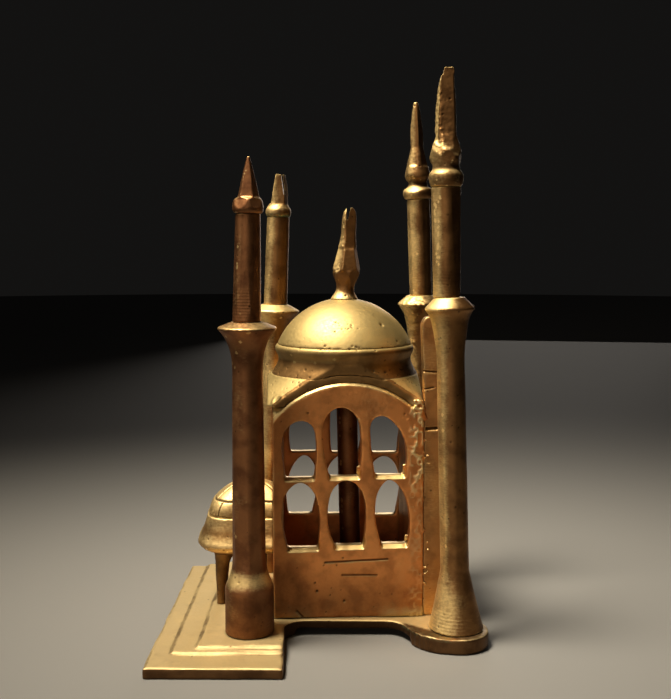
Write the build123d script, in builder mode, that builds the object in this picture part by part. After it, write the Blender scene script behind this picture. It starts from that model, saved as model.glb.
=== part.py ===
from build123d import *
import os
from math import cos, radians, sin

# A cast and hand-finished brass mosque model on a stepped plate.
# The origin is on the table, under the middle of the plate. X runs along the
# front of the plate, Y runs from the front to the back, Z is up. Millimetres.

os.makedirs("parts", exist_ok=True)

# ---------------------------------------------------------------- driving dimensions
plate_left = -51.5
plate_right = 43.0
plate_front = -47.2
plate_back = 47.2
plate_top = 5.0  # height of the deck
# The plate's two steps: height, then where the next level starts on the left and in front.
steps = [(3.4, -45.0, -36.8), (4.2, -37.5, -34.2)]
block_right = -11.0  # right end of the solid block under the left front tower
recess_back = -13.4  # the plate's front edge under the hall
lobe_x, lobe_y, lobe_radius = 41.3, -19.6, 10.2  # round foot of the plate, front right
relief_height = 2.1  # hollow under the middle of the plate

hall_x, hall_y = 6.3, 11.5  # the dome's axis
hall_turn = 3.6  # the hall is soldered slightly askew on the plate, degrees
hall_half_width = 24.0
hall_front = -22.5  # outer faces, measured from the dome's axis
hall_back = 21.9
panel_thickness = 4.4
side_thickness = 3.4

vault_centre_z = 50.2  # the roof is a sail vault: a sphere on a square plan
vault_radius = 39.4
vault_thickness = 2.0
vault_inset = 0.8  # the window panels stand this far proud of the roof's edge
roof_overhang = 1.8  # past the left wall
roof_corner_z = 73.3  # the roof's corners are cut off level at this height
oculus_radius = 18.0

drum_seat_z = 83.3
drum_radius = 21.5  # of the roof's flat seat
drum_foot_radius = 25.0  # the drum flares out over the roof
cove_radius = 22.1
rim_radius = 23.2
rim_z = 90.0
drum_top = 91.4
dome_sphere_radius = 24.1
dome_apex = 106.5
dome_thickness = 2.0

spigot_radius = 1.5  # of the finial and of the tie post's threaded foot
tower_spigot_radius = 2.0  # through the plate
socket_radius = 1.6  # between a tower's lower and upper castings
socket_depth = 5.0
post_radius = 3.5
post_lean_x = 2.4  # how far the foot of the post stands right of the dome's axis

finial_foot = 105.2
finial_top = 136.8
finial_lean = 3.4  # degrees
finial_spigot_foot = 94.0
nut_across_flats = 5.5
nut_thickness = 1.7
bar_depth = 4.4
bar_foot_width = 6.6
bar_head_width = 4.2
bar_top = 101.6

porch_x, porch_y = -31.1, 0.9  # the porch's middle, measured from the dome's axis
porch_eave_bottom = 22.8
porch_groove_z = 34.2  # the groove between the eave and the porch's dome
porch_thickness = 1.8

# ---------------------------------------------------------------- frames of the hall
across = Vector(cos(radians(hall_turn)), sin(radians(hall_turn)), 0)
backward = Vector(-sin(radians(hall_turn)), cos(radians(hall_turn)), 0)
up = Vector(0, 0, 1)
hall_foot = Vector(hall_x, hall_y, 0)


def in_hall(x, y, z=0.0):
    """A point given across, behind and above the foot of the dome's axis."""
    return hall_foot + across * x + backward * y + up * z


def hall_level(z):
    """The horizontal plane of the hall at one height."""
    return Plane(origin=in_hall(0, 0, z), x_dir=across, z_dir=up)


def facing_front(y):
    """An upright plane that faces the front; sketches on it are drawn in width and height."""
    return Plane(origin=in_hall(0, y), x_dir=across, z_dir=-backward)


def facing_left(x):
    """An upright plane that faces left; its x runs towards the front."""
    return Plane(origin=in_hall(x, 0), x_dir=-backward, z_dir=-across)


def save(part, name):
    part.label = name
    export_step(part, f"parts/{name}.step")


# ---------------------------------------------------------------- towers: where and how tall
def leaning(origin, lean):
    """An upright plane whose local y leans to the right by some degrees; towers are drawn in it."""
    axis = Vector(sin(radians(lean)), 0, cos(radians(lean)))
    side = Vector(cos(radians(lean)), 0, -sin(radians(lean)))
    return Plane(origin=origin, x_dir=side, z_dir=side.cross(axis))


class Tower:
    """One minaret: where it stands and its measures. Heights are above the deck."""

    def __init__(self, foot, lean, upper_shift, upper_lean, bell, shaft, balcony, upper, top):
        self.foot = foot
        self.bell = bell  # the foot's outline, as (radius, height) pairs
        self.shaft = shaft  # radius
        self.balcony, self.flare, self.rim, self.seat = balcony  # radius, then three heights
        self.upper = upper  # the upper shaft's radius at its bottom and at its top
        self.top = top  # where the spire starts
        self.lower_plane = leaning(foot, lean)
        seat_centre = self.lower_plane.from_local_coords((0, self.seat, 0))
        self.seat_plane = Plane(origin=seat_centre, z_dir=self.lower_plane.y_dir)
        self.upper_plane = leaning(seat_centre + Vector(upper_shift, 0, 0), upper_lean)
        self.reach = top - self.seat


def deck(point):
    return Vector(point.X, point.Y, plate_top)


towers = {
    "left_front": Tower(
        foot=Vector(-22.9, -22.5, plate_top),
        lean=0.0,
        upper_shift=-0.1,
        upper_lean=1.1,
        bell=[(7.6, 0), (7.5, 14.3), (6.3, 17.2), (5.5, 19.8), (5.15, 23.0)],
        shaft=4.75,
        balcony=(9.0, 80.0, 93.8, 95.9),
        upper=(4.35, 3.75),
        top=128.2,
    ),
    "right_front": Tower(
        foot=Vector(41.3, -18.6, plate_top),
        lean=-1.75,
        upper_shift=-0.8,
        upper_lean=-0.9,
        bell=[(8.6, 0), (7.7, 3.6), (6.5, 8.6), (4.45, 18.6)],
        shaft=4.4,
        balcony=(7.6, 84.0, 99.6, 103.2),
        upper=(4.15, 4.5),
        top=136.2,
    ),
    "left_rear": Tower(
        foot=deck(in_hall(-26.2, 28.5)),
        lean=1.8,
        upper_shift=0.0,
        upper_lean=2.2,
        bell=[(5.6, 0), (5.5, 6.0), (5.0, 10.0), (4.35, 15.0)],
        shaft=4.3,
        balcony=(8.8, 82.0, 95.4, 98.0),
        upper=(4.25, 3.95),
        top=129.2,
    ),
    "right_rear": Tower(
        foot=deck(in_hall(30.2, 25.8)),
        lean=-0.8,
        upper_shift=0.4,
        upper_lean=-1.9,
        bell=[(5.6, 0), (5.5, 6.0), (5.0, 10.0), (4.35, 15.0)],
        shaft=4.3,
        balcony=(8.0, 84.0, 98.0, 101.2),
        upper=(4.0, 4.05),
        top=135.4,
    ),
}

# The tie post leans from its foot on the deck to the top of the dome.
post_foot = in_hall(post_lean_x, 0, plate_top)
post_head = in_hall(0, 0, dome_apex)

# ---------------------------------------------------------------- base plate
fillet_start = (block_right - 1.2, recess_back - 6.0)
fillet_end = (block_right + 4.8, recess_back)
lobe_start = (lobe_x - 2.4, lobe_y - lobe_radius + 0.4)
lobe_end = (lobe_x + 6.6, lobe_y + 7.6)
with BuildPart() as base_plate:
    with BuildSketch() as plan:
        with BuildLine():
            Polyline((plate_left, plate_front), (block_right, plate_front), fillet_start)
            ThreePointArc(fillet_start, (block_right + 0.6, recess_back - 1.6), fillet_end)
            Line(fillet_end, (19.0, recess_back))
            Spline((19.0, recess_back), (26.8, -20.8), lobe_start, tangents=[(1, 0), (1, -0.15)])
            ThreePointArc(
                lobe_start, (lobe_x + lobe_radius * 0.8, lobe_y - lobe_radius * 0.6), lobe_end
            )
            Spline(lobe_end, (plate_right, lobe_y + 17.0), tangents=[(-1, 1), (0, 1)])
            Polyline(
                (plate_right, lobe_y + 17.0),
                (plate_right, plate_back),
                (plate_left, plate_back),
                (plate_left, plate_front),
            )
        make_face()
    extrude(amount=plate_top)
    # Two steps run along the left and front edges.
    for height, left, front in steps:
        with BuildSketch(Plane.XY.offset(height)):
            Rectangle(200, 200)
            with Locations((left, front)):
                Rectangle(200, 200, align=(Align.MIN, Align.MIN), mode=Mode.SUBTRACT)
        extrude(amount=plate_top, mode=Mode.SUBTRACT)
    # The underside is hollow from the front recess to near the back edge.
    with BuildSketch():
        with Locations((9.0, -24.0)):
            Rectangle(36.0, 60.0, align=(Align.CENTER, Align.MIN))
    extrude(amount=relief_height, mode=Mode.SUBTRACT)
    # Holes for the spigots of the four towers and for the tie post.
    with Locations(*[(tower.foot.X, tower.foot.Y) for tower in towers.values()]):
        Hole(tower_spigot_radius)
    with Locations((post_foot.X, post_foot.Y)):
        Hole(spigot_radius)
save(base_plate.part, "base_plate")


# ---------------------------------------------------------------- hall walls
def room_under(radius, centre_z):
    """A cylinder with a half sphere on top, on the dome's axis: what fits under a dome."""
    with BuildPart(mode=Mode.PRIVATE) as room:
        with BuildSketch(facing_front(0)):
            with BuildLine():
                Polyline((0, centre_z + radius), (0, 0), (radius, 0), (radius, centre_z))
                RadiusArc((radius, centre_z), (0, centre_z + radius), -radius)
            make_face()
        revolve(axis=Axis(in_hall(0, 0), up))
    return room.part


under_roof = room_under(vault_radius - vault_thickness, vault_centre_z)
# Each window's outline, from the left end of its sill over the crown to the right end.
front_windows = {
    "upper_left": [
        (-20.0, 50.6), (-20.9, 58.5), (-20.2, 65.0), (-17.8, 67.9), (-14.6, 68.8),
        (-12.0, 67.6), (-10.4, 62.5), (-10.3, 56.5), (-11.0, 50.6),
    ],
    "upper_middle": [
        (-6.0, 50.9), (-7.7, 58.5), (-8.0, 65.0), (-6.9, 70.2), (-2.2, 73.0),
        (2.4, 70.0), (3.9, 63.0), (3.9, 56.5), (3.5, 50.9),
    ],
    "upper_right": [
        (8.6, 51.2), (7.4, 57.5), (6.9, 64.0), (7.7, 69.0), (10.0, 70.3),
        (13.6, 68.7), (16.6, 65.0), (18.3, 59.5), (17.9, 51.2),
    ],
    "lower_left": [
        (-19.3, 27.8), (-20.9, 35.5), (-20.7, 42.5), (-18.8, 46.9), (-15.4, 49.0),
        (-12.0, 47.2), (-9.9, 42.5), (-9.3, 36.0), (-9.6, 27.8),
    ],
    "lower_middle": [
        (-4.3, 28.4), (-6.4, 35.0), (-6.4, 42.0), (-4.6, 47.2), (-0.6, 49.6),
        (3.2, 47.4), (5.2, 42.5), (5.5, 36.0), (4.9, 28.4),
    ],
    "lower_right": [
        (10.6, 28.6), (8.9, 35.5), (8.6, 42.0), (10.2, 47.3), (13.0, 49.7),
        (16.0, 47.7), (18.4, 43.0), (19.5, 37.0), (18.8, 28.6),
    ],
}
# The rear panel is a second casting from the same pattern, turned round.
rear_windows = {
    name: [(-x, z) for x, z in outline] for name, outline in front_windows.items()
}
wall_blank_top = 84.0  # walls are cut from blanks of this height


def window_panel(outer_y, inner_y, windows):
    """A window panel between two depths, cut to the underside of the roof."""
    with BuildPart() as panel:
        with BuildSketch(facing_front(inner_y)):
            with Locations((0, (plate_top + wall_blank_top) / 2)):
                Rectangle(2 * hall_half_width, wall_blank_top - plate_top)
            for outline in windows.values():
                with BuildLine():
                    Spline(*outline)
                    Line(outline[-1], outline[0])
                make_face(mode=Mode.SUBTRACT)
        extrude(amount=inner_y - outer_y)
        add(under_roof, mode=Mode.INTERSECT)
    return panel.part


front_panel = window_panel(hall_front, hall_front + panel_thickness, front_windows)
save(front_panel, "front_panel")
rear_panel = window_panel(hall_back - panel_thickness, hall_back, rear_windows)
save(rear_panel, "rear_panel")


def side_wall(outer_x, inner_x):
    """A plain wall between the two window panels, cut to the underside of the roof."""
    front = hall_front + panel_thickness
    back = hall_back - panel_thickness
    with BuildPart() as wall:
        with BuildSketch(facing_left(max(outer_x, inner_x))):
            with Locations((-(front + back) / 2, (plate_top + wall_blank_top) / 2)):
                Rectangle(back - front, wall_blank_top - plate_top)
        extrude(amount=abs(outer_x - inner_x))
        add(under_roof, mode=Mode.INTERSECT)
    return wall.part


left_wall = side_wall(-hall_half_width, -hall_half_width + side_thickness)
save(left_wall, "left_wall")
right_wall = side_wall(hall_half_width, hall_half_width - side_thickness)
save(right_wall, "right_wall")

# ---------------------------------------------------------------- roof, drum and dome
with BuildPart() as roof:
    with BuildSketch(facing_front(0)):
        with BuildLine():
            inner = vault_radius - vault_thickness
            CenterArc((0, vault_centre_z), vault_radius, 0, 90)
            CenterArc((0, vault_centre_z), inner, 0, 90)
            Line((inner, vault_centre_z), (vault_radius, vault_centre_z))
            Line((0, vault_centre_z + inner), (0, vault_centre_z + vault_radius))
        make_face()
    revolve(axis=Axis(in_hall(0, 0), up))
    # Square plan.
    with BuildSketch(hall_level(roof_corner_z)):
        with Locations((-roof_overhang / 2, (hall_front + hall_back) / 2)):
            Rectangle(
                2 * hall_half_width + roof_overhang, hall_back - hall_front - 2 * vault_inset
            )
    extrude(amount=vault_radius, mode=Mode.INTERSECT)
    # Flat seat for the drum, with the opening inside it.
    with BuildSketch(hall_level(drum_seat_z)):
        Circle(drum_radius)
    extrude(amount=20, mode=Mode.SUBTRACT)
    with BuildSketch(hall_level(0)):
        Circle(oculus_radius)
    extrude(amount=drum_seat_z, mode=Mode.SUBTRACT)
save(roof.part, "roof")



def on_vault(radius):
    """A point on the roof's outside, as its distance from the dome's axis and its height."""
    return radius, vault_centre_z + (vault_radius**2 - radius**2) ** 0.5


seat_edge = (vault_radius**2 - (drum_seat_z - vault_centre_z) ** 2) ** 0.5
drum_foot = on_vault(drum_foot_radius)
with BuildPart() as drum_ring:
    with BuildSketch(facing_front(0)):
        with BuildLine():
            Line((oculus_radius + 0.6, drum_seat_z), (seat_edge, drum_seat_z))
            ThreePointArc((seat_edge, drum_seat_z), on_vault(23.2), drum_foot)
            # A cove, and the rim's rounded lip above it.
            Spline(
                drum_foot,
                (23.2, 83.6),
                (cove_radius, 87.0),
                (rim_radius - 0.4, rim_z - 1.2),
                (rim_radius, rim_z),
                (22.4, drum_top),
                tangents=[(-0.6, 1), (-1, 0.5)],
            )
            Polyline(
                (22.4, drum_top),
                (oculus_radius + 0.6, drum_top),
                (oculus_radius + 0.6, drum_seat_z),
            )
        make_face()
    revolve(axis=Axis(in_hall(0, 0), up))
    # The flare ends where the roof does.
    with BuildSketch(hall_level(drum_foot[1] - 1)):
        Rectangle(200, 200)
        with Locations((-roof_overhang / 2, (hall_front + hall_back) / 2)):
            Rectangle(
                2 * hall_half_width + roof_overhang,
                hall_back - hall_front - 2 * vault_inset,
                mode=Mode.SUBTRACT,
            )
    extrude(amount=86.4 - drum_foot[1] + 1, mode=Mode.SUBTRACT)
save(drum_ring.part, "drum_ring")

dome_centre_z = dome_apex - dome_sphere_radius
dome_outer_foot = (dome_sphere_radius**2 - (drum_top - dome_centre_z) ** 2) ** 0.5
dome_inner = dome_sphere_radius - dome_thickness
dome_inner_foot = (dome_inner**2 - (drum_top - dome_centre_z) ** 2) ** 0.5
with BuildPart() as dome_shell:
    with BuildSketch(facing_front(0)):
        with BuildLine():
            Line((dome_inner_foot, drum_top), (dome_outer_foot, drum_top))
            RadiusArc((dome_outer_foot, drum_top), (0, dome_apex), -dome_sphere_radius)
            Line((0, dome_apex), (0, dome_apex - dome_thickness))
            RadiusArc((0, dome_apex - dome_thickness), (dome_inner_foot, drum_top), dome_inner)
        make_face()
    revolve(axis=Axis(in_hall(0, 0), up))
    with BuildSketch(hall_level(dome_apex - 5)):
        Circle(spigot_radius)
    extrude(amount=10, mode=Mode.SUBTRACT)
save(dome_shell.part, "dome_shell")

# ---------------------------------------------------------------- dome finial and tie post
finial_outline = [
    (5.0, finial_foot), (4.3, 106.6), (3.1, 108.8), (3.0, 110.4), (3.4, 111.8), (4.5, 114.0),
    (4.7, 116.4), (4.4, 118.8), (3.65, 121.6), (2.8, 124.8), (2.45, 128.6), (2.4, 132.0), (1.9, 135.6),
]
finial_gap = [(-0.5, 130.6), (0.35, 138.0), (-1.3, 138.0)]
finial_plane = leaning(in_hall(0, 0, finial_foot), finial_lean)


def beside_finial(outline):
    """Offset and height pairs, as points in the leaning plane of the finial."""
    return [(x, z - finial_foot) for x, z in outline]


with BuildPart() as dome_finial:
    with BuildSketch(finial_plane):
        with BuildLine():
            Spline(*beside_finial(finial_outline))
            Polyline(
                *beside_finial([finial_outline[-1], (1.1, finial_top), (0, finial_top)]),
                (0, 0),
                (finial_outline[0][0], 0),
            )
        make_face()
    revolve(axis=Axis(finial_plane.origin, finial_plane.y_dir))
    # The foot is hollowed to sit on the dome, and the tip is split into two prongs.
    with Locations(in_hall(0, 0, dome_centre_z)):
        Sphere(dome_sphere_radius, mode=Mode.SUBTRACT)
    with BuildSketch(finial_plane):
        with BuildLine():
            Polyline(*beside_finial(finial_gap), close=True)
        make_face()
    extrude(amount=4, both=True, mode=Mode.SUBTRACT)
    with BuildSketch(hall_level(finial_spigot_foot)):
        Circle(spigot_radius)
    extrude(amount=dome_apex + 2 - finial_spigot_foot)
save(dome_finial.part, "dome_finial")

with BuildPart() as tie_post:
    with BuildSketch(Plane(origin=post_foot, z_dir=post_head - post_foot).offset(-2)):
        Circle(post_radius)
    extrude(amount=dome_apex)
    split(bisect_by=Plane.XY.offset(plate_top), keep=Keep.TOP)
    add(room_under(dome_inner, dome_centre_z), mode=Mode.INTERSECT)
    # The finial's spigot goes down into the post's head.
    with BuildSketch(hall_level(finial_spigot_foot)):
        Circle(spigot_radius)
    extrude(amount=20, mode=Mode.SUBTRACT)
    # The threaded foot goes through the plate.
    with BuildSketch(Plane(origin=post_foot, z_dir=up).offset(0.3 - plate_top)):
        Circle(spigot_radius)
    extrude(amount=plate_top)
save(tie_post.part, "tie_post")

with BuildPart() as tie_nut:
    with BuildSketch(Plane(origin=post_foot, z_dir=up).offset(relief_height - plate_top)):
        RegularPolygon(nut_across_flats / 2, 6, major_radius=False)
        Circle(spigot_radius, mode=Mode.SUBTRACT)
    extrude(amount=-nut_thickness)
save(tie_nut.part, "tie_nut")

# ---------------------------------------------------------------- corner bar
# A flat bar soldered to the hall's right front corner, taller than the roof.
bar_side = hall_half_width
with BuildPart() as corner_bar:
    with BuildSketch(facing_front(hall_front + 0.6 + bar_depth)):
        with BuildLine():
            Polyline(
                (bar_side, 76.0),
                (bar_side, plate_top),
                (bar_side + bar_foot_width, plate_top),
                (bar_side + bar_head_width, 98.0),
            )
            Spline(
                (bar_side + bar_head_width, 98.0),
                (bar_side + 1.4, bar_top),
                (bar_side - 1.1, bar_top - 3.0),
                tangents=[(-0.1, 1), (-0.2, -1)],
            )
            Line((bar_side - 1.1, bar_top - 3.0), (bar_side, 76.0))
        make_face()
    extrude(amount=bar_depth)
save(corner_bar.part, "corner_bar")


# ---------------------------------------------------------------- towers
def tower_axis(plane):
    return Axis(plane.origin, plane.y_dir)


def lower_tower(tower):
    """Foot, shaft and balcony in one casting, with a spigot that goes through the plate."""
    foot_radius = tower.bell[0][0]
    flare_middle = tower.rim - (tower.rim - tower.flare) * 0.42
    with BuildPart() as lower:
        with BuildSketch(tower.lower_plane):
            with BuildLine():
                Polyline(
                    (foot_radius, 0), (foot_radius, -2), (0, -2), (0, tower.seat),
                    (tower.upper[0] + 0.4, tower.seat), (tower.balcony - 0.25, tower.rim + 0.6),
                    (tower.balcony, tower.rim),
                )
                Spline(
                    (tower.balcony, tower.rim),
                    (tower.shaft + 0.75, flare_middle),
                    (tower.shaft - 0.1, tower.flare),
                    tangents=[(-1, -0.9), (0, -1)],
                )
                Line((tower.shaft - 0.1, tower.flare), tower.bell[-1])
                Polyline(*tower.bell)
            make_face()
        revolve(axis=tower_axis(tower.lower_plane))
        split(bisect_by=Plane.XY.offset(plate_top), keep=Keep.TOP)
        with BuildSketch(tower.seat_plane):
            Circle(socket_radius)
        extrude(amount=-socket_depth, mode=Mode.SUBTRACT)
        with BuildSketch(Plane(origin=tower.foot, z_dir=up).offset(0.2 - plate_top)):
            Circle(tower_spigot_radius)
        extrude(amount=plate_top)
    return lower.part


def upper_tower(tower):
    """The upper shaft, from the balcony to the spire, with a spigot in the lower tower."""
    with BuildPart() as shaft:
        with BuildSketch(tower.upper_plane):
            with BuildLine():
                Polyline(
                    (0, -1), (tower.upper[0], -1), (tower.upper[0], 0),
                    (tower.upper[1], tower.reach), (0, tower.reach), close=True,
                )
            make_face()
        revolve(axis=tower_axis(tower.upper_plane))
        split(bisect_by=tower.seat_plane, keep=Keep.TOP)
        with BuildSketch(tower.seat_plane):
            Circle(socket_radius)
        extrude(amount=-socket_depth + 0.4)
    return shaft.part


def turned_spire(tower, outline):
    """A spire turned about the upper shaft's axis. Its outline is radius and height pairs."""
    with BuildPart() as spire:
        with BuildSketch(tower.upper_plane):
            with BuildLine():
                points = [(radius, height - tower.seat) for radius, height in outline]
                Polyline((0, points[-1][1]), (0, points[0][1]), points[0])
                Spline(*points)
                Line(points[-1], (0, points[-1][1]))
            make_face()
        revolve(axis=tower_axis(tower.upper_plane))
    return spire.part


def tip_profile(tower, outline, thickness):
    """A flat tip: an outline of offset and height pairs, extruded to both sides of the axis."""
    with BuildPart() as tip:
        with BuildSketch(tower.upper_plane):
            with BuildLine():
                Polyline(*[(x, height - tower.seat) for x, height in outline], close=True)
            make_face()
        extrude(amount=thickness / 2, both=True)
    return tip.part


for name, tower in towers.items():
    save(lower_tower(tower), f"{name}_tower")
    save(upper_tower(tower), f"{name}_upper_shaft")

# A cap with a plain pointed cone.
cone_outline = [
    (3.75, 128.2), (4.5, 128.9), (4.65, 130.2), (4.3, 131.9), (3.2, 133.8),
    (2.6, 136.3), (1.95, 139.4), (1.1, 142.7), (0.45, 145.3),
]
save(turned_spire(towers["left_front"], cone_outline), "left_front_spire")

# A collar with two prongs: a broad one cut to a slope on its left, and a thin one behind a slit.
prong_outline = [
    (3.95, 129.2), (4.45, 130.2), (4.4, 131.8), (3.6, 133.2), (3.35, 137.0), (3.1, 141.0), (2.3, 144.6),
]
prong_slope = [(-0.9, 146.0), (-2.7, 133.8), (-6.0, 133.8), (-6.0, 146.0)]
prong_slit = [(0.2, 146.0), (1.4, 146.0), (2.5, 137.0), (1.7, 137.0)]
with BuildPart() as left_rear_spire:
    add(turned_spire(towers["left_rear"], prong_outline))
    add(tip_profile(towers["left_rear"], prong_slope, 12.0), mode=Mode.SUBTRACT)
    add(tip_profile(towers["left_rear"], prong_slit, 12.0), mode=Mode.SUBTRACT)
save(left_rear_spire.part, "left_rear_spire")

# A collar, a neck and a bulb, with a thick flat blade on top.
bulb_outline = [
    (4.5, 136.2), (5.05, 137.4), (5.05, 140.2), (4.2, 141.4), (4.1, 142.6), (4.85, 144.2),
    (4.75, 146.0), (4.2, 148.2), (3.5, 150.4), (3.0, 152.6),
]
blade_outline = [
    (-3.1, 150.0), (-2.95, 158.5), (-2.35, 165.0), (-1.5, 168.8), (-0.8, 169.2), (-0.6, 171.3),
    (2.4, 171.3), (2.6, 168.5), (2.85, 163.0), (3.05, 150.0),
]
with BuildPart() as right_front_spire:
    add(turned_spire(towers["right_front"], bulb_outline))
    add(tip_profile(towers["right_front"], blade_outline, 4.2))
save(right_front_spire.part, "right_front_spire")

# A collar, a neck and a flared bulb that draws out into a slender point.
point_outline = [
    (4.05, 135.4), (5.1, 136.2), (5.1, 138.6), (3.6, 139.9), (3.5, 142.0), (4.4, 143.3),
    (4.35, 145.0), (3.7, 147.6), (2.9, 150.8), (2.3, 153.8), (2.3, 158.8), (1.9, 162.6),
    (1.45, 166.0), (0.7, 169.8),
]
save(turned_spire(towers["right_rear"], point_outline), "right_rear_spire")

# ---------------------------------------------------------------- porch on the left wall
# The porch is a rounded oblong in plan, cut off by the wall. Its sections are half length,
# half width, corner radius and height, from the bottom up.
eave_sections = [
    (16.2, 11.8, 8.9, porch_eave_bottom), (17.7, 13.3, 10.4, 24.0), (18.4, 14.0, 11.1, 25.1),
    (18.1, 13.7, 10.8, 26.0), (16.6, 12.2, 9.3, 28.8), (15.6, 11.2, 8.3, 31.6),
    (15.0, 10.6, 7.7, porch_groove_z),
]
dome_sections = [
    (14.5, 10.1, 7.2, porch_groove_z), (14.15, 9.8, 7.0, 36.6), (13.3, 9.1, 6.5, 38.4),
    (11.6, 7.7, 5.6, 40.4), (9.2, 6.0, 4.5, 42.4), (6.2, 3.9, 3.0, 44.2), (2.2, 1.3, 1.0, 45.4),
]
wall_face = facing_left(-hall_half_width)


def porch_level(z):
    """The horizontal plane of the porch at one height."""
    return Plane(origin=in_hall(porch_x, porch_y, z), x_dir=across, z_dir=up)


def stacked_oblongs(sections, inset, ruled=False):
    """A solid through a stack of rounded oblongs, made smaller all round and moved down."""
    with BuildPart(mode=Mode.PRIVATE) as body:
        for half_length, half_width, corner, z in sections:
            with BuildSketch(porch_level(z - inset)):
                inner_corner = max(corner - inset, 0.4)
                RectangleRounded(
                    2 * max(half_length - inset, 1.0), 2 * max(half_width - inset, 0.6), inner_corner
                )
        loft(ruled=ruled)
    return body.part


with BuildPart() as porch_eave:
    add(stacked_oblongs(eave_sections, 0, ruled=True))
    with BuildSketch(porch_level(porch_eave_bottom)):
        half_length, half_width, corner, z = dome_sections[0]
        RectangleRounded(
            2 * (half_length - porch_thickness), 2 * (half_width - porch_thickness),
            corner - porch_thickness,
        )
    extrude(amount=porch_groove_z - porch_eave_bottom, mode=Mode.SUBTRACT)
    split(bisect_by=wall_face, keep=Keep.TOP)
save(porch_eave.part, "porch_eave")

with BuildPart() as porch_dome:
    add(stacked_oblongs(dome_sections, 0))
    add(stacked_oblongs(dome_sections, porch_thickness), mode=Mode.SUBTRACT)
    split(bisect_by=Plane.XY.offset(porch_groove_z), keep=Keep.TOP)
    split(bisect_by=wall_face, keep=Keep.TOP)
save(porch_dome.part, "porch_dome")

# The columns widen and bend towards each other under the eave, so that arches form between
# them. A column's sections are how far it has bent, its radius and the height.
column_sections = [
    (0.0, 1.55, plate_top), (0.05, 1.75, 12.0), (0.35, 2.2, 17.5), (0.9, 2.9, 21.0),
    (1.5, 3.9, porch_eave_bottom),
]
column_places = {
    "front_inner": (-28.4, -6.9, -1),
    "front": (-41.5, -6.9, 1),
    "rear": (-41.5, 8.7, 1),
    "rear_inner": (-28.4, 8.7, -1),
}
for place, (x, y, side) in column_places.items():
    with BuildPart() as column:
        for bend, radius, z in column_sections:
            with BuildSketch(Plane(origin=in_hall(x + side * bend, y, z), x_dir=across, z_dir=up)):
                Circle(radius)
        loft()
    save(column.part, f"porch_column_{place}")
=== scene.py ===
import itertools
import math

import bmesh
import bpy
import numpy as np
from mathutils import Matrix, Vector


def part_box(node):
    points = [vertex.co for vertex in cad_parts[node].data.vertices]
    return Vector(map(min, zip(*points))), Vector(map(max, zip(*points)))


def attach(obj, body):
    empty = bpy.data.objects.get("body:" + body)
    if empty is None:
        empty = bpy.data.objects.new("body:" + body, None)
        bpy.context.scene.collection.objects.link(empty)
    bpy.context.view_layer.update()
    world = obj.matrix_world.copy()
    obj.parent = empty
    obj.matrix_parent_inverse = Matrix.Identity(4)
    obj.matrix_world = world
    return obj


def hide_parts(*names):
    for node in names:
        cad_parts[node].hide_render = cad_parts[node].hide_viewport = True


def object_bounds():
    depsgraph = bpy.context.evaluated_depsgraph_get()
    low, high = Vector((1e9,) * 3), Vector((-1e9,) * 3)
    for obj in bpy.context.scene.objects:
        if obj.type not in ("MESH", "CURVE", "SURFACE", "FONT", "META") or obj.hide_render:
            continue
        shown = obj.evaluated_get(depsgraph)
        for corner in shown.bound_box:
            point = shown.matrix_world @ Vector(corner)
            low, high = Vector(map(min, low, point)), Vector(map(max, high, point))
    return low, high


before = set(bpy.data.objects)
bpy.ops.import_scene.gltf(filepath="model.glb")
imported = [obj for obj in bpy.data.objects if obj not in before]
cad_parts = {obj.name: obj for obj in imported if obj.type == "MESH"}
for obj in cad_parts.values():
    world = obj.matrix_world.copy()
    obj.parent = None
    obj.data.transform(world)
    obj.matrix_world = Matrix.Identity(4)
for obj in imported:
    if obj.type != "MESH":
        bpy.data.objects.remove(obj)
cad_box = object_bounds()

# A cast brass mosque model, finished by hand. Every CAD node gets a casting made from its own
# shape: remeshed finely, its edges softened, then filed, pitted, scratched and incised.
# The scene is in metres; the castings are worked on in millimetres.
MM = 0.001

# ---------------------------------------------------------------- camera, floor and light
camera_place = (0.0065, -0.322, 0.1224)
camera_pitch = math.radians(5.682)
camera_turn = math.radians(0.544)
lens_mm = 51.5

camera_data = bpy.data.cameras.new("camera")
camera_data.lens = lens_mm
camera_data.sensor_width = 36.0
camera_data.clip_start = 0.01
camera = bpy.data.objects.new("camera", camera_data)
camera.location = camera_place
camera.rotation_euler = (math.radians(90) - camera_pitch, 0, camera_turn)
bpy.context.scene.collection.objects.link(camera)
bpy.context.scene.camera = camera


def soft_light(name, place, aim, size, power, colour, spread):
    """A square area light that points at a place; spread is in degrees."""
    data = bpy.data.lights.new(name, "AREA")
    data.size = size
    data.energy = power
    data.color = colour
    data.spread = math.radians(spread)
    light = bpy.data.objects.new(name, data)
    light.location = place
    direction = np.array(aim) - np.array(place)
    light.rotation_euler = Vector(direction).to_track_quat("-Z", "Y").to_euler()
    bpy.context.scene.collection.objects.link(light)


soft_light(
    "key", place=(-0.31, -0.13, 0.92), aim=(0, 0, 0.08),
    size=0.30, power=0.82, colour=(1.0, 0.90, 0.72), spread=30,
)
soft_light(
    "front_fill", place=(-0.30, -0.95, 0.24), aim=(0, 0, 0.08),
    size=0.6, power=0.12, colour=(1.0, 0.86, 0.70), spread=40,
)
soft_light(
    "left_fill", place=(-0.85, -0.25, 0.30), aim=(0, 0, 0.09),
    size=0.5, power=0.07, colour=(1.0, 0.88, 0.70), spread=40,
)
soft_light(
    "back_fill", place=(0.15, 1.0, 0.25), aim=(0, 0, 0.08),
    size=0.6, power=0.30, colour=(1.0, 0.92, 0.82), spread=40,
)

dark_surround = (0.0065, 0.0062, 0.0058, 1)
world = bpy.data.worlds.new("studio")
bpy.context.scene.world = world
world.use_nodes = True
background = world.node_tree.nodes["Background"]
background.inputs["Color"].default_value = dark_surround
background.inputs["Strength"].default_value = 1.0
bpy.context.scene.view_settings.view_transform = "Standard"


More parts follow.
